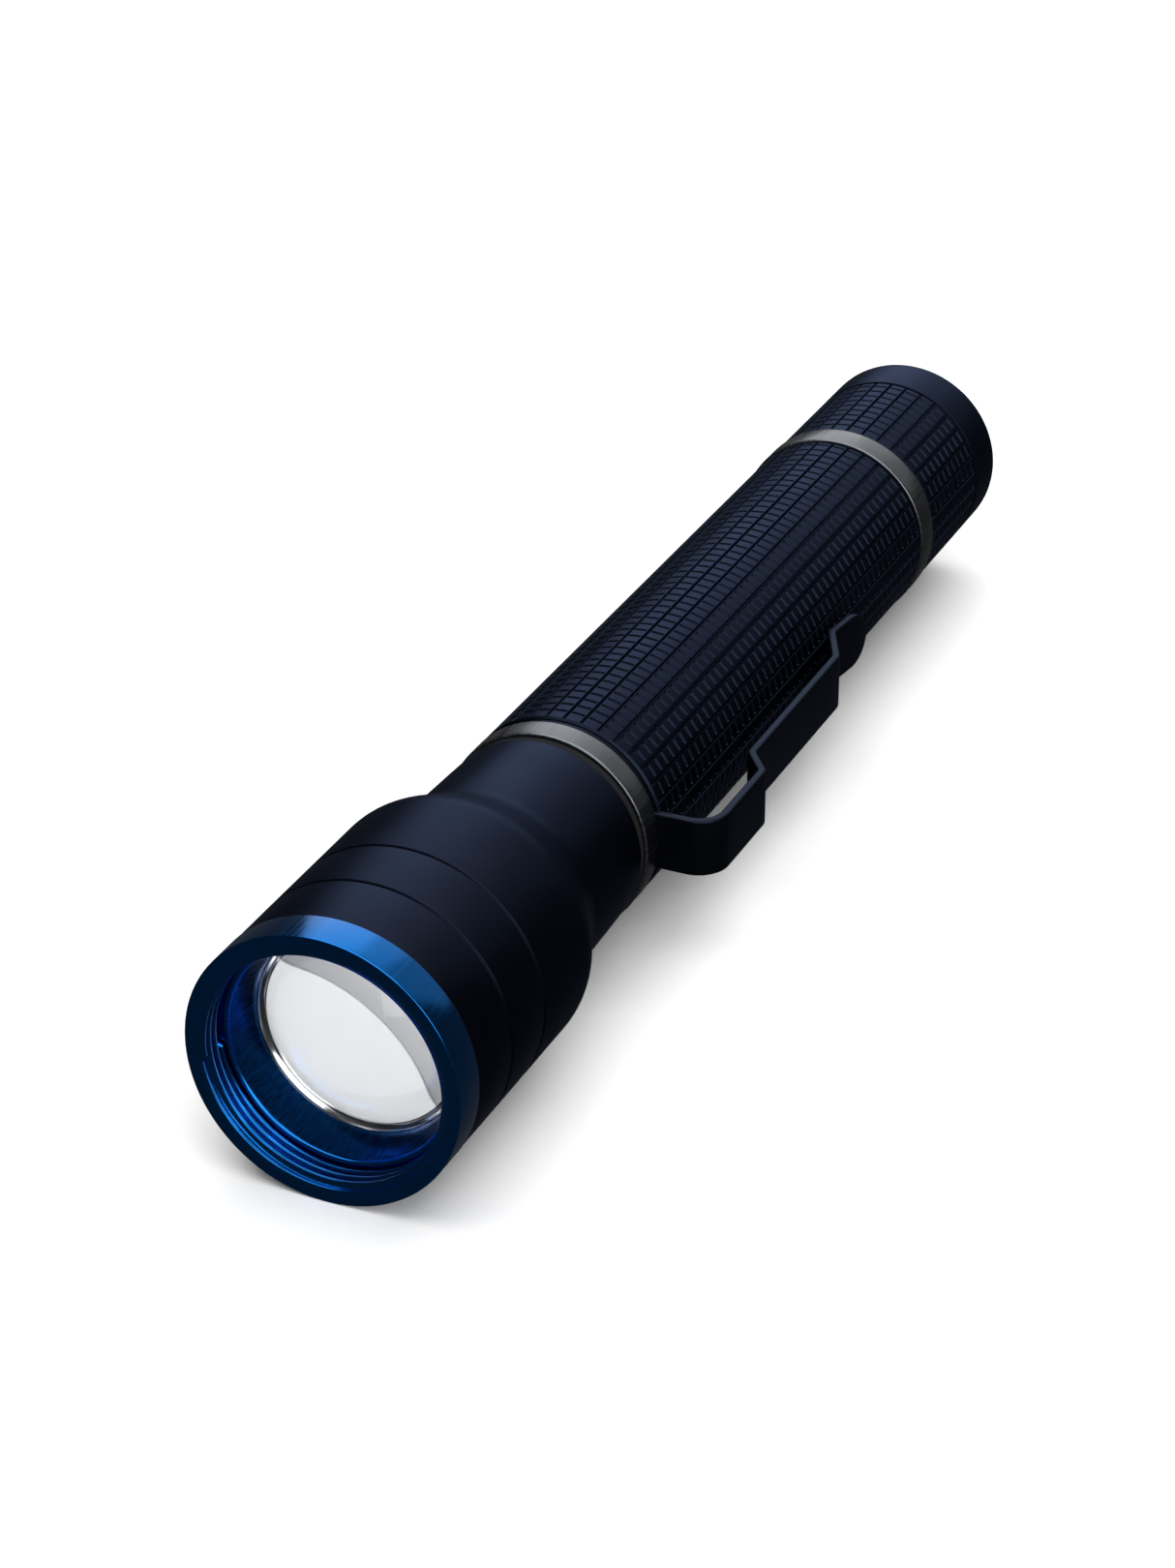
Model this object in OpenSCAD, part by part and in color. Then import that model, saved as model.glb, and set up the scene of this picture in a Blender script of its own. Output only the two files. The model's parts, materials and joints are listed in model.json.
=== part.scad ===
// Zoom-focus tactical flashlight on a one-inch tube.
// The axis lies along Y: the bezel's front face is at y = 0 and the tail is at y = body_len.
// The pocket clip is on the +X side, and the origin is the centre of the bezel's mouth.

/* [Body] */
// Overall length from bezel face to tail face
body_len = 176; // [174:0.5:180]
// Outer radius of the battery tube and the tail cap
tube_r = 12.7; // [12.6:0.05:12.8]
// Outer radius of the front bright trim ring
front_ring_r = 12.74; // [12.7:0.01:12.9]
// Outer radius of the rear bright trim ring
rear_ring_r = 12.89; // [12.7:0.01:12.9]
// Number of grip columns round the tube
grip_columns = 36; // [24:1:40]
// Width of a groove between two grip columns
groove_w = 0.35; // [0.2:0.05:0.5]
// Depth of the grip grooves
groove_d = 0.3; // [0.1:0.05:0.4]

/* [Head] */
// Outer radius of the blue bezel
bezel_r = 16.25; // [16.2:0.05:16.6]
// Width of the bezel's visible band
bezel_band = 4.6; // [4.4:0.1:5]
// Root radius of the thread inside the bezel's mouth
mouth_r = 14.4; // [14.2:0.1:14.6]
// Length of the thread inside the bezel's mouth
thread_len = 3.5; // [3:0.1:3.5]
// Outer radius of the head shell
head_r = 16.2; // [16:0.05:16.2]
// Rear end of the head shell
head_end = 54.8; // [54.6:0.1:54.8]
// How far the head slides forward to focus
focus_travel = 10; // [6:0.5:10]

/* [Battery cells] */
// Radius of one lithium cell
cell_r = 8.5; // [8.3:0.1:8.6]
// Length of one lithium cell with its button
cell_len = 34.5; // [34:0.1:34.6]

/* [Pocket clip] */
// Width of the spring strip
clip_w = 7.2; // [6:0.2:9]
// Thickness of the spring strip
clip_t = 1.1; // [0.9:0.1:1.2]
// Play at the flexing root, which takes up the clip's swing
flex_play = 0.3; // [0.25:0.05:0.4]

/* [Tail switch] */
// Radius of the rubber button
button_r = 7; // [6.5:0.1:7]
// How far the button presses in
button_travel = 1.5; // [1:0.1:1.5]

/* [Hidden] */
$fn = 64;
cut = 1;
run_play = 0.07;
screw_play = 0.05;

// Stations along the axis
lip_y = 8.8;
lens_y = 10;
lens_back_y = 12;
seat_y = 13.5;
seat_back_y = 15.5;
neck_y = 22.7;
stop_y = neck_y + 0.6;
stop_t = 1.5;
shoulder_y = stop_y + stop_t + focus_travel + 0.2;
front_ring_y = 56;
collar_y = front_ring_y + 3.45;
tube_y = collar_y + clip_t;
neck_end_y = tube_y + 9;
tube_end_y = 146;
rear_ring_y = tube_end_y + 0.25;
cap_y = rear_ring_y + 4.15;
spigot_end_y = cap_y + 8.1;
chamber_y = spigot_end_y + 0.9;
chamber_end_y = body_len - 5;
cells_y = 45;
grip_end_y = body_len - 8.5;

// Radii
neck_r = 11.2;
neck_thread_r = 10.6;
bore_r = 8.9;
spigot_r = 11.2;
chamber_r = 10.6;

// Head and bezel
ledge_y = thread_len + 0.4;
relief_r = mouth_r + 0.2;
ledge_r = 13.2;
lip_r = 12.25;
lens_pocket_r = 13.25;
sleeve_r = 15;
sleeve_end_y = lens_y + 1.2;
sleeve_stop_y = sleeve_end_y + 0.2;
rear_r = 12.56;
waist_r = 13;
lens_bore_r = 13.05;
seat_r = 11.2;
head_bore_r = 13.1;
lens_r = 12.9;
dome_base_r = 11.4;
dome_base_y = 9.2;
dome_rise = 5.1;
line_ys = [12.65, 20.8];
line_w = 0.4;
line_d = 0.25;

// O-rings on the neck and on the tube's spigot
oring_section_r = 0.5;
oring_r = neck_r - 0.48;
oring_groove_r = neck_r - 1;
oring_groove_w = 1.2;
focus_oring_front_y = 38.5;
focus_oring_rear_y = 42.5;
tail_oring_y = cap_y + 1.6;
stop_groove_r = 10.7;

// LED pill and boards
pill_flange_r = 11;
pill_flange_t = 2.4;
pill_r = 9.8;
pill_cavity_r = 8.7;
wire_hole_r = 0.9;
board_r = 10.5;
driver_r = 8.6;
pill_back_y = 35;
pill_cavity_y = 27;
board_t = 1.6;
wire_r = 0.6;
wire_x = 6.9;
pad_x = 5.9;
emitter_w = 5;
emitter_t = 0.8;
board_back_y = neck_y - pill_flange_t;
board_y = board_back_y - board_t;
driver_y = pill_back_y - 0.2 - board_t;

// Tail switch
retainer_t = 1.8;
switch_board_t = 1;
switch_y = chamber_y + retainer_t + switch_board_t;
switch_end_y = 168;
boot_flange_t = 1;
boot_y = chamber_end_y - boot_flange_t;
plunger_r = 2.6;

// Clip route, seen along Z: the strip's middle line from the root bend to the free end
bend_r = 3.35;
bend_x = 15.95;
bend_y = collar_y + clip_t / 2 + bend_r;
bend_start = flex_play / bend_r * 180 / PI - 90;
clip_route = concat(
    [for (i = [0 : 12])
        [bend_x + bend_r * cos(bend_start * (12 - i) / 12), bend_y + bend_r * sin(bend_start * (12 - i) / 12)]],
    [
        [bend_x + bend_r, bend_y + 11],
        [16.45, bend_y + 14.7],
        [16.4, bend_y + 42.1],
        [13.45, bend_y + 48.2],
        [14.5, bend_y + 56.6]
    ]);

// A solid turned about the Y axis from points [radius, y]
module turned(points) {
    rotate([-90, 0, 0])
        rotate_extrude()
            polygon(points);
}

// A disc or rod about the Y axis
module rod(r, y0, y1) {
    translate([0, y0, 0])
        rotate([-90, 0, 0])
            cylinder(r = r, h = y1 - y0);
}

// A ring about the Y axis with small chamfers on its outer edges
module band(r_out, r_in, y0, y1, edge = 0) {
    turned([
        [r_in, y0], [r_out - edge, y0], [r_out, y0 + edge],
        [r_out, y1 - edge], [r_out - edge, y1], [r_in, y1]
    ]);
}

// An O-ring: mid_r is the radius to the middle of its section
module oring(y, mid_r = oring_r, section_r = oring_section_r) {
    color("#202020")
        translate([0, y, 0])
            rotate([-90, 0, 0])
                rotate_extrude()
                    translate([mid_r, 0])
                        circle(r = section_r, $fn = 24);
}

// The space that an O-ring's groove takes out of the neck or the spigot
module oring_groove(y) {
    band(neck_r + cut, oring_groove_r, y - oring_groove_w / 2, y + oring_groove_w / 2);
}

// Grooves along the axis that divide the grip into columns
module grip_grooves(y0, y1) {
    for (i = [0 : grip_columns - 1])
        rotate([0, i * 360 / grip_columns, 0])
            translate([tube_r - groove_d, y0, -groove_w / 2])
                cube([groove_d + cut, y1 - y0, groove_w]);
}

// A helical wire spring about the Y axis, swept as one closed skin
module coil_spring(r0, r1, wire, y0, y1, turns) {
    sides = 8;
    steps_a_turn = 20;
    steps = steps_a_turn * turns;
    turn = 360 / steps_a_turn;
    function mid(t) = y0 + wire + (y1 - y0 - 2 * wire) * t;
    function loop_point(i, j) =
        let (t = i / steps, r = r0 + (r1 - r0) * t + wire * cos(j * 360 / sides))
        [r * cos(i * turn), mid(t) + wire * sin(j * 360 / sides), r * sin(i * turn)];
    skin = [for (i = [0 : steps], j = [0 : sides - 1]) loop_point(i, j)];
    walls = [for (i = [0 : steps - 1], j = [0 : sides - 1])
        [i * sides + j, i * sides + (j + 1) % sides,
            (i + 1) * sides + (j + 1) % sides, (i + 1) * sides + j]];
    caps = [[for (j = [sides - 1 : -1 : 0]) j], [for (j = [0 : sides - 1]) steps * sides + j]];
    polyhedron(skin, concat(walls, caps), convexity = 10);
}

// One side of a strip of constant thickness along a route, mitred at its corners
function unit(v) = v / norm(v);
function left_of(v) = [-v.y, v.x];
function strip_side(route, d) = [for (i = [0 : len(route) - 1])
    let (
        before = unit(route[max(i, 1)] - route[max(i, 1) - 1]),
        after = unit(route[min(i, len(route) - 2) + 1] - route[min(i, len(route) - 2)]),
        mitre = unit(left_of(before) + left_of(after))
    )
    route[i] + mitre * d / (mitre * left_of(before))];
function reversed(list) = [for (i = [len(list) - 1 : -1 : 0]) list[i]];

// The head's outline from shoulder to waist, as half a cosine wave
function flank(y, start = 31.5, end = 41.5) =
    [waist_r + (head_r - waist_r) * (1 + cos(180 * (y - start) / (end - start))) / 2, y];

module bezel_ring() {
    color("#1659a8")
        turned([
            [mouth_r, 0], [bezel_r - 0.3, 0], [bezel_r, 0.3], [bezel_r, bezel_band],
            [sleeve_r, bezel_band], [sleeve_r, sleeve_end_y], [lens_pocket_r, sleeve_end_y],
            [lens_pocket_r, lip_y], [lip_r, lip_y], [ledge_r, ledge_y], [relief_r, ledge_y],
            [relief_r, thread_len], [mouth_r, thread_len]
        ]);
}

module lens_retainer() {
    color("#d8dadd")
        turned([
            [lip_r - 0.1, lip_y], [lens_pocket_r - 0.15, lip_y], [lens_pocket_r - 0.15, lens_y],
            [dome_base_r + 0.1, lens_y], [dome_base_r + 0.1, lens_y - 0.2]
        ]);
}

module lens() {
    sphere_r = (dome_base_r * dome_base_r + dome_rise * dome_rise) / (2 * dome_rise);
    color("#dfe8ee", 0.5)
        union() {
            rod(lens_r, lens_y, lens_back_y);
            rod(dome_base_r, dome_base_y, lens_y + cut);
            intersection() {
                translate([0, dome_base_y - dome_rise + sphere_r, 0])
                    sphere(r = sphere_r);
                rod(dome_base_r, dome_base_y - dome_rise - cut, lens_y + cut);
            }
        }
}

module lens_seal() {
    section_r = (seat_y - lens_back_y) / 2;
    middle_r = 12.25;
    oring(seat_y - section_r, middle_r, section_r);
}

module head_shell() {
    thread_r = sleeve_r + screw_play;
    guide_r = neck_r + run_play;
    color("#12161f")
        difference() {
            turned(concat(
                [[thread_r, bezel_band], [head_r, bezel_band]],
                [for (y = [31.5 : 1 : 41.5]) flank(y)],
                [
                    [rear_r, head_end - 0.4], [rear_r - 0.4, head_end], [guide_r, head_end],
                    [guide_r, shoulder_y], [head_bore_r, shoulder_y], [head_bore_r, seat_back_y],
                    [seat_r, seat_back_y], [seat_r, seat_y], [lens_bore_r, seat_y],
                    [lens_bore_r, sleeve_stop_y], [thread_r, sleeve_stop_y]
                ]));
            for (y = line_ys)
                band(head_r + cut, head_r - line_d, y - line_w / 2, y + line_w / 2);
        }
}

module neck_tube() {
    color("#0d0f14")
        difference() {
            turned([
                [pill_r, neck_y], [neck_r - 0.3, neck_y], [neck_r, neck_y + 0.3],
                [neck_r, front_ring_y], [neck_thread_r, front_ring_y], [neck_thread_r, neck_end_y],
                [bore_r, neck_end_y], [bore_r, pill_back_y + 0.2], [pill_r, pill_back_y + 0.2]
            ]);
            band(neck_r + cut, stop_groove_r, stop_y, stop_y + stop_t);
            oring_groove(focus_oring_front_y);
            oring_groove(focus_oring_rear_y);
        }
}

// A split ring in the neck's groove, which the head's shoulder stops against
module stop_ring() {
    stop_r = 12.7;
    gap_w = 2;
    color("#9a9ca0")
        difference() {
            band(stop_r, stop_groove_r, stop_y, stop_y + stop_t);
            translate([-gap_w / 2, stop_y - cut, 0])
                cube([gap_w, stop_t + 2 * cut, stop_r + cut]);
        }
}

module neck_bumper() {
    bumper_r = 12.35;
    color("#15171b")
        band(bumper_r, neck_r, head_end + 0.1, front_ring_y, 0.2);
}

module led_pill() {
    color("#b4b7ba")
        difference() {
            union() {
                rod(pill_flange_r, board_back_y, neck_y);
                rod(pill_r - screw_play, neck_y, pill_back_y);
            }
            rod(pill_cavity_r, pill_cavity_y, pill_back_y + cut);
            for (side = [-1, 1])
                translate([side * wire_x, 0, 0])
                    rod(wire_hole_r, board_back_y - cut, pill_cavity_y + cut);
        }
}

module led_board() {
    color("#e8e8e4")
        difference() {
            rod(board_r, board_y, board_back_y);
            for (side = [-1, 1])
                translate([side * wire_x, 0, 0])
                    rod(wire_hole_r, board_y - cut, board_back_y + cut);
        }
}

module led_emitter() {
    face_y = board_y - emitter_t;
    dome_r = 1.9;
    color("#e8c63c") {
        translate([-emitter_w / 2, face_y, -emitter_w / 2])
            cube([emitter_w, emitter_t, emitter_w]);
        intersection() {
            translate([0, face_y + 0.4, 0])
                sphere(r = dome_r);
            rod(emitter_w / 2, face_y - dome_r, face_y + 0.1);
        }
    }
}

module led_centring_ring() {
    window_w = emitter_w + 0.2;
    color("#f2f2ee")
        difference() {
            rod(emitter_w, board_y - emitter_t, board_y);
            translate([-window_w / 2, board_y - 2, -window_w / 2])
                cube([window_w, 4, window_w]);
        }
}

// A lead from the driver, through the pill, to its pad on the LED board
module led_wire(side) {
    top_y = board_y - wire_r - 0.1;
    translate([side * wire_x, 0, 0])
        rod(wire_r, top_y, driver_y);
    translate([side * wire_x, top_y, 0])
        sphere(r = wire_r);
    translate([side * (wire_x + pad_x) / 2 - (wire_x - pad_x) / 2, top_y, 0])
        rotate([0, 90, 0])
            cylinder(r = wire_r, h = wire_x - pad_x);
    translate([side * pad_x, 0, 0])
        rod(wire_r, top_y, top_y + wire_r + 0.1);
    translate([side * pad_x, top_y, 0])
        sphere(r = wire_r);
}

module driver_board() {
    color("#1e6b3a")
        rod(driver_r, driver_y, driver_y + board_t);
}

module driver_spring() {
    color("#c9b26b")
        coil_spring(r0 = 4.2, r1 = 2.8, wire = 0.4, y0 = driver_y + board_t, y1 = cells_y, turns = 5);
}

module front_ring() {
    color("#b9bcc0")
        band(front_ring_r, neck_thread_r, front_ring_y, collar_y, 0.2);
}

// The clip's clamped ring and the short radial root of its strip
module clip_collar() {
    collar_r = 12.4;
    color("#14161c") {
        band(collar_r, neck_thread_r, collar_y, tube_y);
        difference() {
            translate([neck_thread_r, collar_y, -clip_w / 2])
                cube([bend_x - neck_thread_r, clip_t, clip_w]);
            rod(collar_r - 0.6, collar_y - cut, tube_y + cut);
        }
    }
}

module clip_blade() {
    outline = concat(strip_side(clip_route, clip_t / 2), reversed(strip_side(clip_route, -clip_t / 2)));
    round_y = clip_route[len(clip_route) - 1].y - clip_w / 2;
    color("#14161c")
        intersection() {
            translate([0, 0, -clip_w / 2])
                linear_extrude(height = clip_w)
                    polygon(outline);
            union() {
                translate([0, collar_y - cut, -clip_w / 2])
                    cube([30, round_y - collar_y + cut, clip_w]);
                translate([0, round_y, 0])
                    rotate([0, 90, 0])
                        cylinder(r = clip_w / 2, h = 30);
            }
        }
}

module battery_tube() {
    color("#12161f")
        difference() {
            turned([
                [neck_thread_r + screw_play, tube_y], [tube_r - 0.3, tube_y], [tube_r, tube_y + 0.3],
                [tube_r, tube_end_y - 0.3], [tube_r - 0.3, tube_end_y], [spigot_r, tube_end_y],
                [spigot_r, spigot_end_y - 0.4], [spigot_r - 0.4, spigot_end_y],
                [bore_r, spigot_end_y], [bore_r, neck_end_y + 0.2],
                [neck_thread_r + screw_play, neck_end_y + 0.2]
            ]);
            oring_groove(tail_oring_y);
            grip_grooves(tube_y - cut, tube_end_y + 0.2);
        }
}

// One lithium cell with its positive button towards the lens
module cell(index) {
    y0 = cells_y + index * cell_len;
    color("#2f6d8c") {
        rod(cell_r, y0 + 1.2, y0 + cell_len);
        rod(3, y0, y0 + 1.3);
    }
}

module rear_ring() {
    color("#b9bcc0")
        band(rear_ring_r, spigot_r, rear_ring_y, cap_y - 0.1, 0.2);
}

module tail_spring() {
    start_y = cells_y + 3 * cell_len;
    color("#c9b26b")
        coil_spring(r0 = 3, r1 = 4.6, wire = 0.45, y0 = start_y, y1 = chamber_y + retainer_t, turns = 6);
}

module tail_cap() {
    edge = 1.8;
    opening_r = button_r + 0.3;
    cap_bore_r = spigot_r + 0.08;
    rounded = [for (a = [0 : 15 : 90])
        [tube_r - edge + edge * cos(a), body_len - edge + edge * sin(a)]];
    color("#12161f")
        difference() {
            turned(concat(
                [[cap_bore_r, cap_y], [tube_r - 0.3, cap_y], [tube_r, cap_y + 0.3]],
                rounded,
                [
                    [opening_r + 1, body_len], [opening_r, body_len - 1],
                    [opening_r, chamber_end_y], [chamber_r, chamber_end_y],
                    [chamber_r, chamber_y], [cap_bore_r, chamber_y]
                ]));
            band(tube_r + cut, tube_r - groove_d, grip_end_y, grip_end_y + 0.6);
            grip_grooves(cap_y - cut, grip_end_y + 0.2);
        }
}

module switch_retainer() {
    opening_r = 7.6;
    key_hole_x = 9;
    key_hole_r = 0.8;
    color("#b7a06a")
        difference() {
            band(chamber_r - screw_play, opening_r, chamber_y, chamber_y + retainer_t);
            for (side = [-1, 1])
                translate([side * key_hole_x, 0, 0])
                    rod(key_hole_r, chamber_y - cut, chamber_y + retainer_t + cut);
        }
}

module switch_board() {
    color("#1e6b3a")
        rod(chamber_r - 0.2, chamber_y + retainer_t, switch_y);
}

module switch_body() {
    housing_r = 9.9;
    base_t = 1.5;
    color("#1a1a1c")
        difference() {
            rod(housing_r, switch_y, switch_end_y);
            rod(plunger_r + 0.1, switch_y + base_t, switch_end_y + cut);
        }
}

module boot_washer() {
    color("#8f9296")
        band(chamber_r - 0.1, button_r + 1.6, switch_end_y, chamber_end_y);
}

module switch_plunger() {
    color("#d9d4c4")
        rod(plunger_r, switch_y + 1.7 + button_travel, boot_y + 2.5);
}

module switch_boot() {
    dome_r = 12;
    tip_y = body_len - 0.6;
    color("#1b1c1f")
        difference() {
            union() {
                rod(button_r + 1.3, boot_y, chamber_end_y);
                intersection() {
                    rod(button_r, boot_y, body_len);
                    translate([0, tip_y - dome_r, 0])
                        sphere(r = dome_r);
                }
            }
            rod(plunger_r, boot_y - cut, boot_y + 2.5);
        }
}

bezel_ring();
lens_retainer();
lens();
lens_seal();
head_shell();
neck_tube();
stop_ring();
oring(focus_oring_front_y);  // focus_oring_front
oring(focus_oring_rear_y);  // focus_oring_rear
neck_bumper();
led_pill();
led_board();
led_emitter();
led_centring_ring();
color("#b3261e") led_wire(1);  // led_wire_red
color("#222222") led_wire(-1);  // led_wire_black
driver_board();
driver_spring();
front_ring();
clip_collar();
clip_blade();
battery_tube();
cell(0);  // cell_front
cell(1);  // cell_middle
cell(2);  // cell_rear
rear_ring();
oring(tail_oring_y);  // tail_oring
tail_spring();
tail_cap();
switch_retainer();
switch_board();
switch_body();
boot_washer();
switch_plunger();
switch_boot();
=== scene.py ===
import json
import math

import bmesh
import bpy
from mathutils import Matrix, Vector


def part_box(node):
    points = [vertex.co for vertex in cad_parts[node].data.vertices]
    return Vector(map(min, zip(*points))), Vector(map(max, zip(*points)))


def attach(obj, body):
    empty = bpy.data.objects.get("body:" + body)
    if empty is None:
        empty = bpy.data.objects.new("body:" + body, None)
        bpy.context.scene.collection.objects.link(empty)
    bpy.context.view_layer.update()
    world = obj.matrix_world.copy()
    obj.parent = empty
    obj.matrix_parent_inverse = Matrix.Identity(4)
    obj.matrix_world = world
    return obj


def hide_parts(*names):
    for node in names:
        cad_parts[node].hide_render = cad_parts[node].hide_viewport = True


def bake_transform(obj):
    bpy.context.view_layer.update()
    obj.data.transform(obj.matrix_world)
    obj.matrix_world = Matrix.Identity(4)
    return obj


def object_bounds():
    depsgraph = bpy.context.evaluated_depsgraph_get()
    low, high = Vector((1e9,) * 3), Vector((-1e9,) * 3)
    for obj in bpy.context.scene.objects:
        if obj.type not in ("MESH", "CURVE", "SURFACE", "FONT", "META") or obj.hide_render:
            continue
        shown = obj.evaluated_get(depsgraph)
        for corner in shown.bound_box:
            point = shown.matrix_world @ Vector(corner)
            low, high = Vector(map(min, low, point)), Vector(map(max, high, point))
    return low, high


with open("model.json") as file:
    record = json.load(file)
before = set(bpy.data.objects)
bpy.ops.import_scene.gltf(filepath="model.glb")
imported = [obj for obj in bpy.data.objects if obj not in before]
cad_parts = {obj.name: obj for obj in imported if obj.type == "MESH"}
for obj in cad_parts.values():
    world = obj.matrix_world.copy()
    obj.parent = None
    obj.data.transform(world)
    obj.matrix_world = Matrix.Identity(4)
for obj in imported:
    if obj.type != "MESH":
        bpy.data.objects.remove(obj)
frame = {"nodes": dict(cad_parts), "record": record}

MM = 0.001
AXIS_R = 0.001
nodes = frame["nodes"]
cad_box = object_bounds()


# ---------------------------------------------------------------- mesh helpers

def finish_mesh(name, verts, faces, sharp_deg=35):
    """A closed, smooth-shaded mesh object whose edges stay crisp above sharp_deg."""
    mesh = bpy.data.meshes.new(name)
    mesh.from_pydata([tuple(v) for v in verts], [], faces)
    work = bmesh.new()
    work.from_mesh(mesh)
    bmesh.ops.remove_doubles(work, verts=work.verts, dist=1e-8)
    bmesh.ops.recalc_face_normals(work, faces=work.faces)
    work.to_mesh(mesh)
    work.free()
    mesh.shade_smooth()
    mesh.set_sharp_from_angle(angle=math.radians(sharp_deg))
    obj = bpy.data.objects.new(name, mesh)
    bpy.context.scene.collection.objects.link(obj)
    return obj


def spin(name, meridian, angles, sharp_deg=35):
    """A solid turned about the Y axis. meridian(angle) gives its closed outline there, as (radius, y)."""
    rings = [meridian(a) for a in angles]
    count = len(rings[0])
    verts = [(r * math.cos(a), y, r * math.sin(a)) for a, ring in zip(angles, rings) for r, y in ring]
    faces = []
    for i in range(len(angles)):
        here, there = i * count, (i + 1) % len(angles) * count
        for j in range(count):
            k = (j + 1) % count
            faces.append((here + j, here + k, there + k, there + j))
    return finish_mesh(name, verts, faces, sharp_deg)


def full_turn(segments):
    return [2 * math.pi * i / segments for i in range(segments)]


def soften(corners, steps=4):
    """An outline of (radius, y, fillet) corners in millimetres, with its fillets rounded, in metres."""
    out = []
    for i, (r, y, fillet) in enumerate(corners):
        here = Vector((r, y))
        before = Vector(corners[i - 1][:2]) - here
        after = Vector(corners[(i + 1) % len(corners)][:2]) - here
        if fillet <= 0:
            out.append(here)
            continue
        turn = before.angle(after)
        reach = min(fillet / math.tan(turn / 2), 0.49 * before.length, 0.49 * after.length)
        start = here + before.normalized() * reach
        end = here + after.normalized() * reach
        for s in range(steps + 1):
            t = s / steps
            out.append(start * (1 - t) ** 2 + here * 2 * t * (1 - t) + end * t ** 2)
    return [(p.x * MM, p.y * MM) for p in out]


def lathe(name, corners, segments=160, steps=4, sharp_deg=35):
    outline = soften(corners, steps)
    return spin(name, lambda a: outline, full_turn(segments), sharp_deg)


def stand_in(piece, body, slot, finish, *cad_nodes):
    """Puts a detailed piece in the place of CAD nodes, on their body, with its finish."""
    piece.data.materials.clear()
    piece.data.materials.append(finish)
    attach(piece, body)
    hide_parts(*cad_nodes)
    return piece


def span(node):
    """Where a CAD node starts and ends along the axis, in millimetres."""
    low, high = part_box(node)
    return low.y / MM, high.y / MM


def outer(node):
    """A round CAD node's outer radius in millimetres."""
    return -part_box(node)[0].x / MM


# ---------------------------------------------------------------- materials

def shader(name):
    """A new material with its Principled shader and a small node-adding helper."""
    mat = bpy.data.materials.new(name)
    mat.use_nodes = True
    tree = mat.node_tree
    bsdf = tree.nodes["Principled BSDF"]

    def add(kind, **inputs):
        node = tree.nodes.new(kind)
        for key, value in inputs.items():
            node.inputs[key.replace("_", " ")].default_value = value
        return node

    return mat, tree, bsdf, add


def object_point(tree, add, stretch=(1, 1, 1)):
    """The surface point in the object's own frame, stretched per axis."""
    place = tree.nodes.new("ShaderNodeTexCoord")
    mapping = add("ShaderNodeMapping")
    mapping.inputs["Scale"].default_value = stretch
    tree.links.new(place.outputs["Object"], mapping.inputs["Vector"])
    return mapping.outputs["Vector"]


def ranged(tree, add, value, low, high, from_low=0.3, from_high=0.7):
    """value, carried from its usual range to low..high."""
    node = add("ShaderNodeMapRange", From_Min=from_low, From_Max=from_high, To_Min=low, To_Max=high)
    tree.links.new(value, node.inputs["Value"])
    return node.outputs["Result"]


def mixed(tree, value, colour_a, colour_b):
    node = tree.nodes.new("ShaderNodeMix")
    node.data_type = "RGBA"
    node.inputs["A"].default_value = (*colour_a, 1)
    node.inputs["B"].default_value = (*colour_b, 1)
    tree.links.new(value, node.inputs["Factor"])
    return node.outputs["Result"]


def bumped(tree, add, bsdf, height, strength, distance):
    node = add("ShaderNodeBump", Strength=strength, Distance=distance)
    tree.links.new(height, node.inputs["Height"])
    tree.links.new(node.outputs["Normal"], bsdf.inputs["Normal"])


def noise(tree, add, vector, scale, detail=3.0):
    node = add("ShaderNodeTexNoise", Scale=scale, Detail=detail)
    tree.links.new(vector, node.inputs["Vector"])
    return node.outputs["Fac"]


COOL_EDGE = (0.64, 0.70, 0.88, 1)


def anodised(name, dark, light, rough, metallic=1.0, bump=0.06):
    """Anodised aluminium: a fine blasted grain, with slow drifts of tone and gloss."""
    mat, tree, bsdf, add = shader(name)
    place = object_point(tree, add)
    drift = noise(tree, add, place, 90.0, 2.0)
    fine = noise(tree, add, place, 9000.0, 2.0)
    tree.links.new(mixed(tree, drift, dark, light), bsdf.inputs["Base Color"])
    tree.links.new(ranged(tree, add, drift, rough - 0.04, rough + 0.04), bsdf.inputs["Roughness"])
    bsdf.inputs["Metallic"].default_value = metallic
    bsdf.inputs["Specular Tint"].default_value = COOL_EDGE
    bumped(tree, add, bsdf, fine, bump, 0.02 * MM)
    return mat


def turned_metal(name, colour, rough, lines=5200.0, bump=0.12, coat=0.0, anisotropy=0.5, brushed=False):
    """Bright metal with fine lines: turned ones run round the axis, brushed ones run along it."""
    mat, tree, bsdf, add = shader(name)
    stretch = (1, 0.01, 1) if brushed else (0.012, 1, 0.012)
    place = object_point(tree, add, stretch)
    fine = noise(tree, add, place, lines, 2.0)
    drift = noise(tree, add, object_point(tree, add), 120.0, 2.0)
    tint = [c * 0.86 for c in colour]
    tree.links.new(mixed(tree, drift, tint, colour), bsdf.inputs["Base Color"])
    tree.links.new(ranged(tree, add, fine, rough - 0.06, rough + 0.08), bsdf.inputs["Roughness"])
    bsdf.inputs["Metallic"].default_value = 1.0
    bsdf.inputs["Anisotropic"].default_value = anisotropy
    tangent = tree.nodes.new("ShaderNodeTangent")
    tangent.direction_type = "RADIAL"
    tangent.axis = "Y"
    tree.links.new(tangent.outputs["Tangent"], bsdf.inputs["Tangent"])
    bsdf.inputs["Coat Weight"].default_value = coat
    bsdf.inputs["Coat Roughness"].default_value = 0.12
    bumped(tree, add, bsdf, fine, bump, 0.01 * MM)
    return mat


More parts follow.
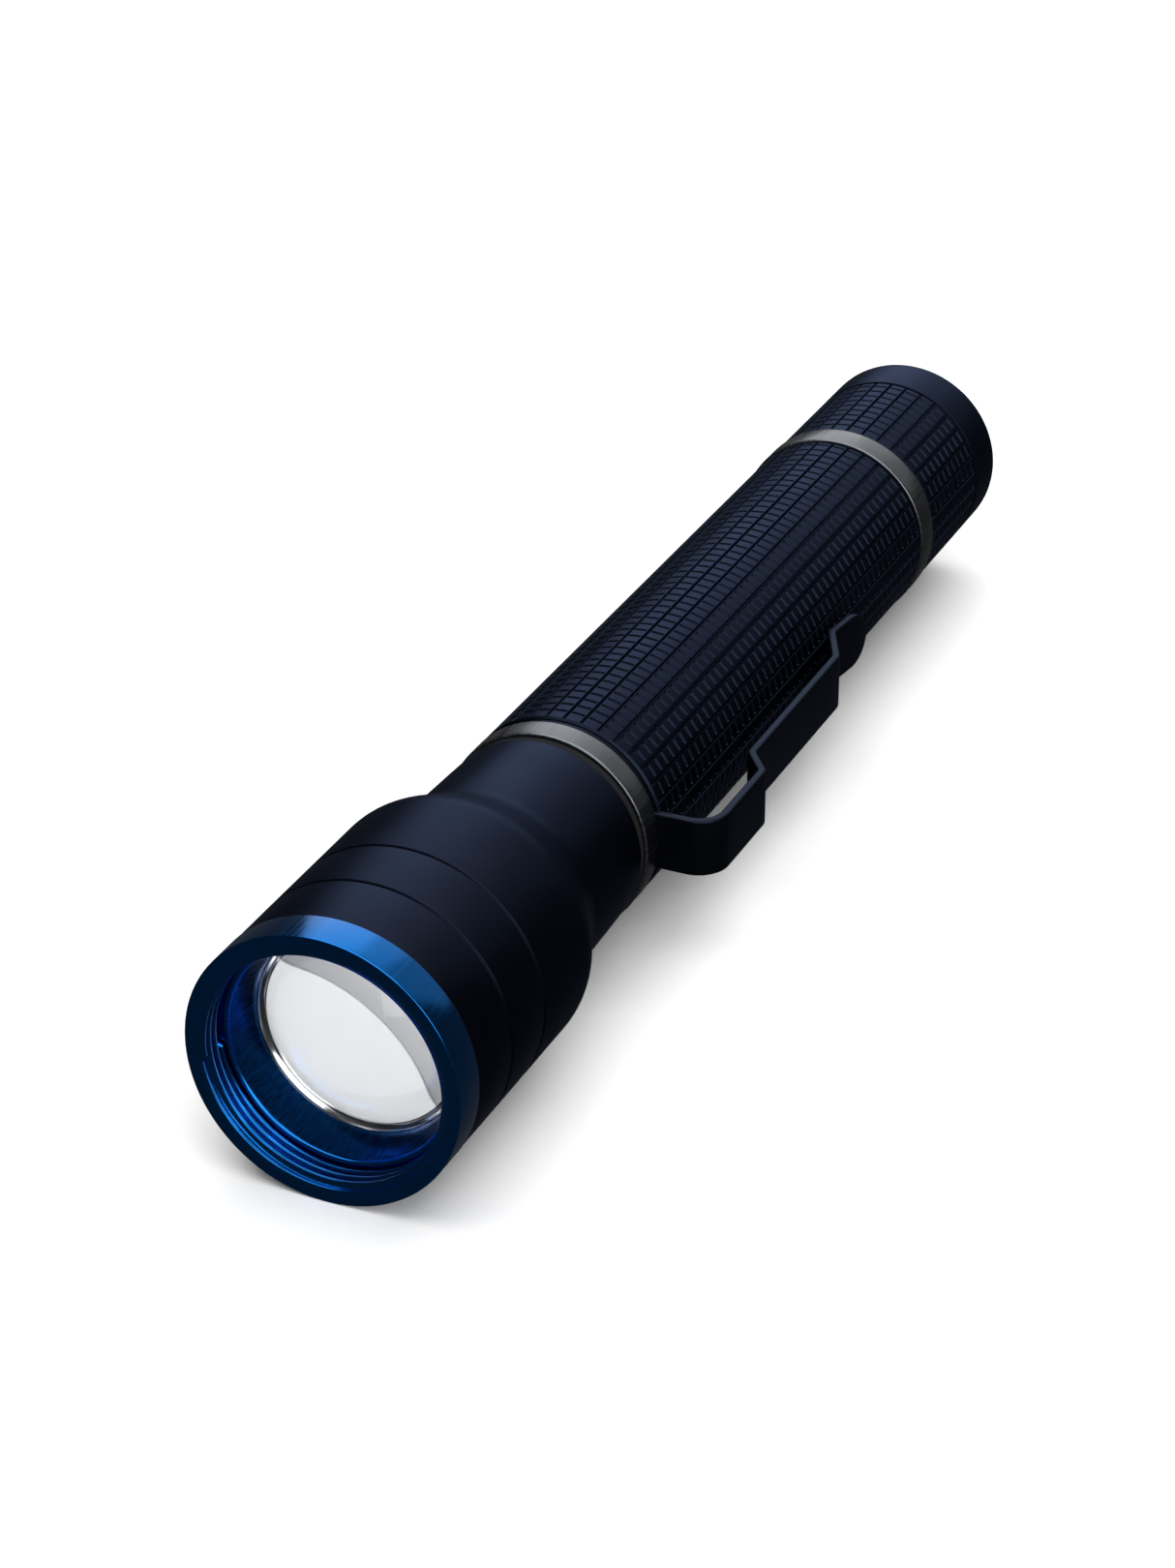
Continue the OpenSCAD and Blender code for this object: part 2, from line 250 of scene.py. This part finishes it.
def moulded(name, colour_a, colour_b, rough, specular=0.5):
    """Moulded plastic or rubber: fine skin texture, with faint mottling."""
    mat, tree, bsdf, add = shader(name)
    place = object_point(tree, add)
    mottle = noise(tree, add, place, 300.0, 3.0)
    skin = noise(tree, add, place, 2500.0, 3.0)
    tree.links.new(mixed(tree, mottle, colour_a, colour_b), bsdf.inputs["Base Color"])
    tree.links.new(ranged(tree, add, skin, rough - 0.05, rough + 0.06), bsdf.inputs["Roughness"])
    bsdf.inputs["Specular IOR Level"].default_value = specular
    bumped(tree, add, bsdf, skin, 0.15, 0.03 * MM)
    return mat


def clear_glass(name):
    """Polished glass, with the faintest haze of dust."""
    mat, tree, bsdf, add = shader(name)
    dust = noise(tree, add, object_point(tree, add), 1500.0, 4.0)
    tree.links.new(ranged(tree, add, dust, 0.0, 0.025, 0.45, 0.75), bsdf.inputs["Roughness"])
    bsdf.inputs["Base Color"].default_value = (0.98, 0.99, 1.0, 1)
    bsdf.inputs["Transmission Weight"].default_value = 1.0
    bsdf.inputs["IOR"].default_value = 1.5
    return mat


def glowing(name, colour, strength):
    """The LED's phosphor: silicone over yellow powder, lit."""
    mat, tree, bsdf, add = shader(name)
    powder = noise(tree, add, object_point(tree, add), 6000.0, 3.0)
    tree.links.new(mixed(tree, powder, [c * 0.9 for c in colour], colour), bsdf.inputs["Base Color"])
    bsdf.inputs["Roughness"].default_value = 0.25
    bsdf.inputs["Emission Color"].default_value = (1.0, 0.98, 0.95, 1)
    bsdf.inputs["Emission Strength"].default_value = strength
    return mat


def painted_glow_metal(name, colour, rough, glow):
    """Bright machined metal with a painted glow: an emission that stands in for the LED's light catching it.
    """
    mat = turned_metal(name, colour, rough)
    bsdf = mat.node_tree.nodes["Principled BSDF"]
    # Painted glow: a faint emission in place of light falling on the metal.
    bsdf.inputs["Emission Color"].default_value = (0.9, 0.9, 0.92, 1)
    bsdf.inputs["Emission Strength"].default_value = glow
    return mat


# The board's painted glow: where it starts to fade, where it ends, and how strong it is.
PAINTED_GLOW_FADE_START = 10.40 * MM
PAINTED_GLOW_END = 10.43 * MM
PAINTED_BOARD_GLOW = 0.58


def painted_glow_board(name):
    """The LED board: white solder mask with a painted glow, an emission that stands in for the LED's light on
    it. The glow stops just short of the board's edge, so the unlit rim paints a thin dark line round the
    lens.
    """
    mat, tree, bsdf, add = shader(name)
    place = object_point(tree, add, (1, 0, 1))
    length = tree.nodes.new("ShaderNodeVectorMath")
    length.operation = "LENGTH"
    tree.links.new(place, length.inputs[0])
    # Fade of the painted glow: full inside, almost none past its end, so the board's rim paints a dark line.
    mask = ranged(tree, add, length.outputs["Value"], 1.0, 0.04, PAINTED_GLOW_FADE_START, PAINTED_GLOW_END)
    weave = noise(tree, add, object_point(tree, add), 2500.0, 3.0)
    tree.links.new(mixed(tree, weave, (0.84, 0.84, 0.82), (0.90, 0.90, 0.88)), bsdf.inputs["Base Color"])
    bsdf.inputs["Roughness"].default_value = 0.4
    # Painted glow: emission in place of light falling on the board.
    bsdf.inputs["Emission Color"].default_value = (0.97, 0.985, 1.0, 1)
    glow = ranged(tree, add, mask, 0.0, PAINTED_BOARD_GLOW, 0.0, 1.0)
    tree.links.new(glow, bsdf.inputs["Emission Strength"])
    return mat


BARE_METAL = (0.74, 0.75, 0.77)

NAVY = anodised("navy_anodised", (0.0085, 0.0112, 0.021), (0.0105, 0.0136, 0.025), 0.39)
BLUE = turned_metal("blue_anodised", (0.003, 0.13, 0.44), 0.18, lines=2800.0, bump=0.12, coat=0.10,
                    anisotropy=0.3, brushed=True)
STEEL = turned_metal("bright_steel", (0.14, 0.147, 0.165), 0.28, lines=2800.0, bump=0.1, brushed=True)
CHROME = turned_metal("chrome_trim", (0.86, 0.87, 0.89), 0.12, bump=0.03, anisotropy=0.3)
CLIP = anodised("clip_steel", (0.005, 0.0065, 0.011), (0.007, 0.009, 0.015), 0.34, metallic=0.9, bump=0.1)
GLASS = clear_glass("lens_glass")
RUBBER = moulded("black_rubber", (0.006, 0.006, 0.007), (0.011, 0.011, 0.012), 0.75, specular=0.12)
NECK = anodised("neck_black", (0.014, 0.015, 0.020), (0.020, 0.021, 0.027), 0.35)
ALUMINIUM = turned_metal("bare_aluminium", BARE_METAL, 0.32)
BRASS = turned_metal("bare_brass", (0.72, 0.53, 0.26), 0.30)
WHITE_BOARD = moulded("white_board", (0.84, 0.84, 0.81), (0.90, 0.90, 0.88), 0.40)
PHOSPHOR = glowing("led_phosphor", (0.93, 0.80, 0.30), 3.0)
PAINTED_GLOW_BOARD = painted_glow_board("painted_glow_white_board")
# The bore's bare metal, with a faint painted glow.
PAINTED_GLOW_BORE = painted_glow_metal("painted_glow_bare_aluminium", BARE_METAL, 0.32, 0.30)
WHITE_PLASTIC = moulded("white_plastic", (0.88, 0.88, 0.86), (0.93, 0.93, 0.91), 0.45)
RED_WIRE = moulded("red_wire", (0.50, 0.02, 0.015), (0.58, 0.03, 0.02), 0.40)
BLACK_WIRE = moulded("black_wire", (0.012, 0.012, 0.012), (0.02, 0.02, 0.02), 0.40)
GREEN_BOARD = moulded("green_board", (0.012, 0.11, 0.035), (0.02, 0.15, 0.05), 0.35)
GOLD = turned_metal("spring_gold", (0.83, 0.62, 0.28), 0.22)
SLEEVE = moulded("cell_wrap", (0.02, 0.12, 0.20), (0.03, 0.15, 0.25), 0.28)
PLAIN_STEEL = turned_metal("plain_steel", (0.52, 0.53, 0.54), 0.34)
BLACK_PLASTIC = moulded("black_plastic", (0.012, 0.012, 0.013), (0.02, 0.02, 0.021), 0.45)
IVORY = moulded("ivory_plastic", (0.72, 0.67, 0.55), (0.80, 0.75, 0.64), 0.42)

FINISHES = {m.name.split(".")[0]: m for m in (
    NAVY, BLUE, STEEL, CHROME, CLIP, GLASS, RUBBER, NECK, ALUMINIUM, BRASS, WHITE_BOARD, PHOSPHOR,
    WHITE_PLASTIC, RED_WIRE, BLACK_WIRE, GREEN_BOARD, GOLD, SLEEVE, PLAIN_STEEL, BLACK_PLASTIC, IVORY)}


def finish_cad_nodes():
    """Every CAD node takes the finish that its material slot names, and the LED board its painted-glow one.
    """
    for part in frame["record"]["subparts"]:
        obj = nodes[part["node"]]
        obj.data.materials.clear()
        obj.data.materials.append(FINISHES[part["material_slot"]])
    nodes["led_board"].data.materials[0] = PAINTED_GLOW_BOARD


# ---------------------------------------------------------------- the head

MOUTH_R = 14.4
THREAD_PITCH = 1.12
THREAD_TURNS = 3
THREAD_START = math.radians(188)
THREAD_START_Y = 0.15
THREAD_END = 3.5
THREAD_ROWS = 150
RIDGE_HEIGHT = 0.62
RIDGE_FOOT = 0.46
RIDGE_RISE = 0.36
BAND_END = 4.6
BAND_SEAT_R = 15.0


def thread_radius(angle, y):
    """The mouth's wall, in millimetres, with one ridge that starts at the face and runs three turns."""
    turn = (y - THREAD_START_Y) / THREAD_PITCH - ((THREAD_START - angle) % (2 * math.pi)) / (2 * math.pi)
    nearest = round(turn)
    if not 0 <= nearest < THREAD_TURNS:
        return MOUTH_R
    across = abs(turn - nearest)
    height = min(1.0, max(0.0, (RIDGE_FOOT - across) / RIDGE_RISE))
    return MOUTH_R - RIDGE_HEIGHT * height * height * (3 - 2 * height)


def bezel():
    """The blue band, with the thread in its mouth and the cone that leads down to the lens."""
    _, back = span("bezel_ring")
    radius = outer("bezel_ring")
    face_chamfer = 0.08
    relief_r = MOUTH_R + 0.2
    ledge = 3.9
    lip = 8.8
    lens_seat_r = 13.25
    outside = soften([
        (MOUTH_R + face_chamfer, 0, 0), (radius, 0, 0.14), (radius, BAND_END, 0.12),
        (BAND_SEAT_R, BAND_END, 0), (BAND_SEAT_R, back, 0.1), (lens_seat_r, back, 0.1), (lens_seat_r, lip, 0),
        (12.25, lip, 0.12), (13.2, ledge, 0.55), (relief_r, ledge, 0.1), (relief_r, THREAD_END, 0.05)
    ])

    def meridian(angle):
        wall = [THREAD_END * (1 - i / THREAD_ROWS) for i in range(THREAD_ROWS)]
        thread = [(thread_radius(angle, y) * MM, y * MM) for y in wall if y > face_chamfer]
        return outside + thread

    piece = spin("bezel", meridian, full_turn(288), 75)
    stand_in(piece, "head", "blue_anodised", BLUE, "bezel_ring")


def lens():
    """A domed lens, flat at the back, with a flange that the retainer holds."""
    front, back = span("lens")
    rim = outer("lens")
    base_r = 11.4
    base_y = 9.2
    flange = 10.0
    steps = 40
    rise = base_y - front
    sphere_r = (base_r ** 2 + rise ** 2) / (2 * rise)
    outline = []
    for i in range(steps):
        r = base_r * math.sin(math.pi / 2 * i / steps)
        sag = sphere_r - math.sqrt(sphere_r ** 2 - r ** 2)
        outline.append((max(r, AXIS_R) * MM, (front + sag) * MM))
    outline += soften([
        (base_r, base_y, 0.05), (base_r, flange, 0), (rim, flange, 0.1), (rim, back, 0.15),
        (rim * 0.75, back, 0)
    ])
    outline += [(rim * 0.5 * MM, back * MM), (rim * 0.25 * MM, back * MM), (AXIS_R * MM, back * MM)]
    piece = spin("lens_dome", lambda a: outline, full_turn(160), 30)
    stand_in(piece, "head", "lens_glass", GLASS, "lens")


def lens_ring():
    """The bright ring round the lens, with a chamfer that faces forward and inward."""
    front, back = span("lens_retainer")
    rim = outer("lens_retainer")
    nose_r = 12.2
    inner_r = 11.45
    piece = lathe("lens_ring", [
        (nose_r, front + 0.05, 0), (rim, front + 0.05, 0), (rim, back, 0), (inner_r, back, 0.05),
        (inner_r, back - 0.35, 0.1), (12.1, back - 1.0, 0.1), (nose_r, front, 0.05)
    ])
    stand_in(piece, "head", "chrome_trim", CHROME, "lens_retainer")


BORE_R = 13.1
BORE_FRONT = 15.5
BORE_BACK = 35


def bore_lining():
    """The head's bore behind the lens, left as bare machined metal with a faint painted glow."""
    wall = BORE_R - 0.02
    skin = BORE_R - 0.13
    front = BORE_FRONT + 0.1
    back = BORE_BACK - 0.1
    piece = lathe("head_bore_bare", [(skin, front, 0), (wall, front, 0), (wall, back, 0), (skin, back, 0)])
    piece.data.materials.append(PAINTED_GLOW_BORE)
    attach(piece, "head")


FLANK_FRONT = 31.5
FLANK_LENGTH = 10
FLANK_STEPS = 24
HEAD_GROOVES = (12.65, 20.8)
GROOVE_DEPTH = 0.28
GROOVE_FLOOR = 0.12
GROOVE_HALF = 0.26


def head():
    """The head shell: two turned grooves, a smooth taper to the waist, and a bore from the lens seat back."""
    front, back = span("head_shell")
    big = outer("head_shell")
    waist = 13.0
    rear = 12.56
    socket_r = 15.05
    socket_end = 11.4
    neck_r = 11.27
    seal_r = 13.05
    seal_end = 13.5
    seat_r = 11.2
    flank = []
    for i in range(FLANK_STEPS + 1):
        t = i / FLANK_STEPS
        radius = waist + (big - waist) * (1 + math.cos(math.pi * t)) / 2
        flank.append((radius, FLANK_FRONT + FLANK_LENGTH * t, 0))
    grooves = []
    for y in HEAD_GROOVES:
        grooves += [(big, y - GROOVE_HALF, 0.1), (big - GROOVE_DEPTH, y - GROOVE_FLOOR, 0.05),
                    (big - GROOVE_DEPTH, y + GROOVE_FLOOR, 0.05), (big, y + GROOVE_HALF, 0.1)]
    piece = lathe("head_shell_turned", [
        (socket_r, front, 0), (big - 0.02, front, 0.15), *grooves, *flank,
        (rear + 0.16, back - 4, 0), (rear, back, 0.35), (neck_r, back, 0.15), (neck_r, BORE_BACK, 0),
        (BORE_R, BORE_BACK, 0), (BORE_R, BORE_FRONT, 0), (seat_r, BORE_FRONT, 0.1), (seat_r, seal_end, 0.1),
        (seal_r, seal_end, 0), (seal_r, socket_end, 0), (socket_r, socket_end, 0)
    ], segments=200, sharp_deg=28)
    stand_in(piece, "head", "navy_anodised", NAVY, "head_shell")


# ---------------------------------------------------------------- trim rings

def trim_ring(name, node, body, finish, slot, inner, edge=0.3):
    """A plain ring with rounded outer edges."""
    front, back = span(node)
    radius = outer(node)
    piece = lathe(name, [
        (inner, front, 0), (radius, front, edge), (radius, back, edge), (inner, back, 0)
    ], segments=200)
    return stand_in(piece, body, slot, finish, node)


# ---------------------------------------------------------------- the ribbed grip

COLUMNS = 36
COLUMN_ANGLE = 2 * math.pi / COLUMNS
ROW_PITCH = 1.755
LONG_HALF = 0.22
LONG_FLAT = 0.06
LONG_DEPTH = 0.32
DASH_HALF = 0.26
DASH_FLAT = 0.03
DASH_DEPTH = 0.32
DASH_ENDS = (0.14, 0.20, 0.82, 0.88)
NO_DASH = 9
GRIP_FADE = 0.5
PLAIN_END = 0.6


def grip_angles(radius):
    """Angles round the tube: at each column's long groove, and at the ends of its short ones."""
    inside = [LONG_FLAT / radius, LONG_HALF / radius]
    inside += [f * COLUMN_ANGLE for f in DASH_ENDS] + [0.5 * COLUMN_ANGLE]
    inside += [COLUMN_ANGLE - LONG_HALF / radius, COLUMN_ANGLE - LONG_FLAT / radius]
    return [c * COLUMN_ANGLE + a for c in range(COLUMNS) for a in sorted(inside)]


def trapezoid(distance, flat, half):
    """1 within flat of a groove's middle, falling to 0 at half."""
    return min(1.0, max(0.0, (half - distance) / (half - flat)))


def grip_depth(angle, radius, row_offset, long_fade):
    """How deep the pattern cuts at this angle, row_offset away from the nearest short groove."""
    share = (angle % COLUMN_ANGLE) / COLUMN_ANGLE
    to_long = min(share, 1 - share) * COLUMN_ANGLE * radius
    long_cut = LONG_DEPTH * long_fade * trapezoid(to_long, LONG_FLAT, LONG_HALF)
    a, b, c, d = DASH_ENDS
    ends = min(1.0, max(0.0, min((share - a) / (b - a), (d - share) / (d - c))))
    dash_cut = DASH_DEPTH * ends * trapezoid(row_offset, DASH_FLAT, DASH_HALF)
    return max(long_cut, dash_cut)


def grip_wall(angle, radius, first, last, rows):
    """The outer wall's points (radius, y) from first to last, with one short groove a row."""
    points = []
    points.append((radius - grip_depth(angle, radius, NO_DASH, 0), first))
    points.append((radius - grip_depth(angle, radius, NO_DASH, 1), first + GRIP_FADE))
    for row in range(1, rows + 1):
        middle = first + row * ROW_PITCH
        for offset in (-DASH_HALF, -DASH_FLAT, DASH_FLAT, DASH_HALF):
            points.append((radius - grip_depth(angle, radius, abs(offset), 1), middle + offset))
    points.append((radius - grip_depth(angle, radius, NO_DASH, 1), last))
    return [(r * MM, y * MM) for r, y in points]


def battery_tube():
    """The ribbed tube: a socket for the neck in front, and a spigot with an O-ring groove behind."""
    front, back = span("battery_tube")
    radius = outer("battery_tube")
    shoulder = 146.0
    spigot = 11.2
    socket_r = 10.65
    socket_end = front + 9.2
    cell_r = 8.9
    seal_r = 10.25
    seal_front = 151.4
    seal_back = 152.6
    rows = int((shoulder - front - PLAIN_END) / ROW_PITCH)
    before = soften([(socket_r, socket_end, 0), (socket_r, front, 0), (radius - 0.25, front, 0)])
    after = soften([
        (radius - 0.35, shoulder, 0), (spigot, shoulder, 0), (spigot, seal_front, 0), (seal_r, seal_front, 0),
        (seal_r, seal_back, 0), (spigot, seal_back, 0), (spigot, back, 0.3), (cell_r, back, 0.2),
        (cell_r, socket_end, 0)
    ])

    def meridian(angle):
        wall = grip_wall(angle, radius, front + 0.25, shoulder - 0.35, rows)
        return before + wall + after

    piece = spin("battery_tube_ribbed", meridian, grip_angles(radius), 30)
    stand_in(piece, "body", "navy_anodised", NAVY, "battery_tube")


def tail_cap():
    """The cap: the same grip, a groove, a plain end band with a rounded edge, and a recess for the button."""
    front, back = span("tail_cap")
    radius = outer("tail_cap")
    mouth = 11.28
    mouth_end = 159.4
    chamber_r = 10.6
    chamber_end = back - 5
    hole_r = 7.3
    groove = back - 8.5
    floor_r = radius - 0.3
    rows = int((groove - front - PLAIN_END) / ROW_PITCH)
    before = soften([
        (chamber_r, mouth_end, 0), (mouth, mouth_end, 0), (mouth, front, 0.1), (radius - 0.25, front, 0)
    ])
    after = soften([
        (floor_r, groove + 0.05, 0), (floor_r, groove + 0.5, 0), (radius, groove + 0.6, 0.12),
        (radius, back, 1.8), (9.2, back, 0.5), (hole_r, back - 1.0, 0.3), (hole_r, chamber_end, 0),
        (chamber_r, chamber_end, 0)
    ], steps=8)

    def meridian(angle):
        wall = grip_wall(angle, radius, front + 0.25, groove - 0.05, rows)
        return before + wall + after

    piece = spin("tail_cap_ribbed", meridian, grip_angles(radius), 30)
    stand_in(piece, "cap", "navy_anodised", NAVY, "tail_cap")


# ---------------------------------------------------------------- the pocket clip

CLIP_HALF = 3.6
CLIP_THICK = 1.1
CLIP_ROLL = 0.28
CLIP_FILLET = 0.5
CLIP_STEPS = 6
TIP_STEPS = 18
BEND_X = 15.95
BEND_R = 3.35


def clip_route():
    """The strip's middle line in the XY plane, in millimetres, with its corners rounded."""
    collar_front, collar_back = span("clip_collar")
    root_y = (collar_front + collar_back) / 2
    bend_y = root_y + BEND_R
    run = [Vector((x, root_y)) for x in (11.9, 13.2, 14.6)]
    for i in range(16):
        a = math.radians(-90 + 6 * i)
        run.append(Vector((BEND_X + BEND_R * math.cos(a), bend_y + BEND_R * math.sin(a))))
    corners = [
        (BEND_X + BEND_R, bend_y + 11), (16.45, bend_y + 14.7), (16.4, bend_y + 42.1), (13.45, bend_y + 48.2),
        (14.5, bend_y + 56.6)
    ]
    previous = run[-1]
    for corner, following in zip(corners, corners[1:]):
        here = Vector(corner)
        after = Vector(following)
        start = here + (previous - here).normalized() * CLIP_FILLET
        end = here + (after - here).normalized() * CLIP_FILLET
        last = run[-1]
        run += [last + (start - last) * k / CLIP_STEPS for k in range(1, CLIP_STEPS)]
        for k in range(CLIP_STEPS + 1):
            t = k / CLIP_STEPS
            run.append(start * (1 - t) ** 2 + here * 2 * t * (1 - t) + end * t ** 2)
        previous = here
    tip = Vector(corners[-1])
    last = run[-1]
    run += [last + (tip - last) * math.sin(math.pi / 2 * k / TIP_STEPS) for k in range(1, TIP_STEPS + 1)]
    return run


def strip_section(half_width):
    """The strip's cross-section, (across thickness, across width), with rolled edges."""
    width = max(half_width, 0.02)
    soft = min(CLIP_ROLL, width * 0.9)
    flat = CLIP_THICK / 2 - CLIP_ROLL
    reach = width - soft
    points = []
    for cx, cw, start in ((flat, reach, 0), (-flat, reach, 90), (-flat, -reach, 180), (flat, -reach, 270)):
        for k in range(5):
            a = math.radians(start + 22.5 * k)
            points.append((cx + CLIP_ROLL * math.cos(a), cw + soft * math.sin(a)))
    return points


def clip_mesh():
    """The strip swept along its route, with a half-round tip."""
    run = clip_route()
    lengths = [0.0]
    for a, b in zip(run, run[1:]):
        lengths.append(lengths[-1] + (b - a).length)
    total = lengths[-1]
    verts = []
    for i, middle in enumerate(run):
        along = (run[min(i + 1, len(run) - 1)] - run[max(i - 1, 0)]).normalized()
        side = Vector((along.y, -along.x))
        left = total - lengths[i]
        half = CLIP_HALF
        if left < CLIP_HALF:
            half = math.sqrt(max(0.0, CLIP_HALF ** 2 - (CLIP_HALF - left) ** 2))
        for across, wide in strip_section(half):
            point = middle + side * across
            verts.append((point.x * MM, point.y * MM, wide * MM))
    count = len(strip_section(1))
    faces = []
    for i in range(len(run) - 1):
        for j in range(count):
            k = (j + 1) % count
            faces.append((i * count + j, i * count + k, (i + 1) * count + k, (i + 1) * count + j))
    faces.append(tuple(reversed(range(count))))
    faces.append(tuple((len(run) - 1) * count + j for j in range(count)))
    return finish_mesh("pocket_clip", verts, faces, 40)


def pocket_clip():
    """One strip that bends between its collar and its blade, and the collar's ring."""
    piece = clip_mesh()
    piece.data.materials.append(CLIP)
    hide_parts("clip_blade")
    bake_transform(piece)
    trim_ring("clip_ring", "clip_collar", "body", CLIP, "clip_steel", 10.6, 0.15)


# ---------------------------------------------------------------- the tail switch

def boot():
    """The rubber button: a low dome, a rim that the washer holds, and a socket for the plunger."""
    front, back = span("switch_boot")
    rim = outer("switch_boot")
    radius = 7.0
    rise = 2.2
    rim_end = front + 1.0
    socket_r = 2.6
    socket_end = front + 2.5
    dome = [(AXIS_R, back, 0)]
    for degrees in range(6, 91, 6):
        a = math.radians(degrees)
        dome.append((radius * math.sin(a), back - rise + rise * math.cos(a), 0))
    rest = [(radius, rim_end, 0.1), (rim, rim_end, 0.1), (rim, front, 0.1), (socket_r, front, 0),
            (socket_r, socket_end, 0), (AXIS_R, socket_end, 0)]
    piece = lathe("button_boot", dome + rest, segments=96, sharp_deg=40)
    stand_in(piece, "button", "black_rubber", RUBBER, "switch_boot")


# ---------------------------------------------------------------- camera, floor and lights

CAMERA_AIM = (0.00756, 0.0508, 0.01077)
CAMERA_AZIMUTH = 24.406
CAMERA_ELEVATION = 28.731
CAMERA_DISTANCE = 0.4543
CAMERA_LENS = 92.74
STUDIO_MIDDLE = (0, 0.08, 0)


def look_from(azimuth, elevation, distance, aim):
    """The point at this distance from aim; azimuth 0 looks along +Y, and 90 along -X."""
    a, e = math.radians(azimuth), math.radians(elevation)
    away = Vector((math.sin(a) * math.cos(e), -math.cos(a) * math.cos(e), math.sin(e)))
    return aim + away * distance


def point_at(obj, target):
    obj.rotation_euler = (target - obj.location).to_track_quat("-Z", "Y").to_euler()


def camera():
    aim = Vector(CAMERA_AIM)
    data = bpy.data.cameras.new("camera")
    data.sensor_width = 36
    data.lens = CAMERA_LENS
    data.clip_start = 0.01
    data.clip_end = 50
    cam = bpy.data.objects.new("camera", data)
    bpy.context.scene.collection.objects.link(cam)
    cam.location = look_from(CAMERA_AZIMUTH, CAMERA_ELEVATION, CAMERA_DISTANCE, aim)
    point_at(cam, aim)
    bpy.context.scene.camera = cam


def floor():
    """A plain pale floor, level with the lowest point of the light."""
    size = 6.0
    z = cad_box[0][2]
    corners = [(-size, -size, z), (size, -size, z), (size, size, z), (-size, size, z)]
    mesh = bpy.data.meshes.new("floor")
    mesh.from_pydata(corners, [], [(0, 1, 2, 3)])
    obj = bpy.data.objects.new("floor", mesh)
    bpy.context.scene.collection.objects.link(obj)
    mat, _, bsdf, _ = shader("floor_white")
    bsdf.inputs["Base Color"].default_value = (0.93, 0.93, 0.93, 1)
    bsdf.inputs["Roughness"].default_value = 0.9
    bsdf.inputs["Specular IOR Level"].default_value = 0.0
    mesh.materials.append(mat)
    obj.visible_glossy = False


def softbox(name, offset, width, height, power):
    """A rectangular lamp, offset from the light's middle and facing it, that the camera doesn't see."""
    middle = Vector(STUDIO_MIDDLE)
    data = bpy.data.lights.new(name, "AREA")
    data.shape = "RECTANGLE"
    data.size = width
    data.size_y = height
    data.energy = power
    lamp = bpy.data.objects.new(name, data)
    bpy.context.scene.collection.objects.link(lamp)
    lamp.location = middle + Vector(offset)
    lamp.visible_camera = False
    point_at(lamp, middle)


def lighting():
    """A soft studio: one large lamp above, three behind, one on the right and one in front."""
    world = bpy.data.worlds.new("studio")
    world.use_nodes = True
    background = world.node_tree.nodes["Background"]
    background.inputs["Color"].default_value = (1, 1, 1, 1)
    background.inputs["Strength"].default_value = 0.05
    bpy.context.scene.world = world
    softbox("top", (0, 0, 1.6), 2.2, 2.2, 42.0)
    softbox("back_left", (-0.42, 1.0, 0.66), 0.66, 0.95, 1.4)
    softbox("back_middle", (-0.22, 1.02, 0.66), 1.05, 0.95, 1.7)
    softbox("back_right", (0.10, 1.04, 0.66), 1.65, 0.95, 2.0)
    softbox("right", (0.95, -0.42, 0.46), 0.9, 0.5, 3.2)
    softbox("front", (0.52, -0.72, 0.46), 1.0, 0.8, 5.0)


finish_cad_nodes()
bezel()
lens()
lens_ring()
bore_lining()
head()
trim_ring("neck_bumper_ring", "neck_bumper", "body", RUBBER, "black_rubber", 11.2, 0.25)
trim_ring("front_trim_ring", "front_ring", "body", STEEL, "bright_steel", 10.6)
trim_ring("rear_trim_ring", "rear_ring", "body", STEEL, "bright_steel", 11.2)
battery_tube()
tail_cap()
pocket_clip()
boot()
camera()
floor()
lighting()
bpy.context.scene.view_settings.view_transform = "Standard"
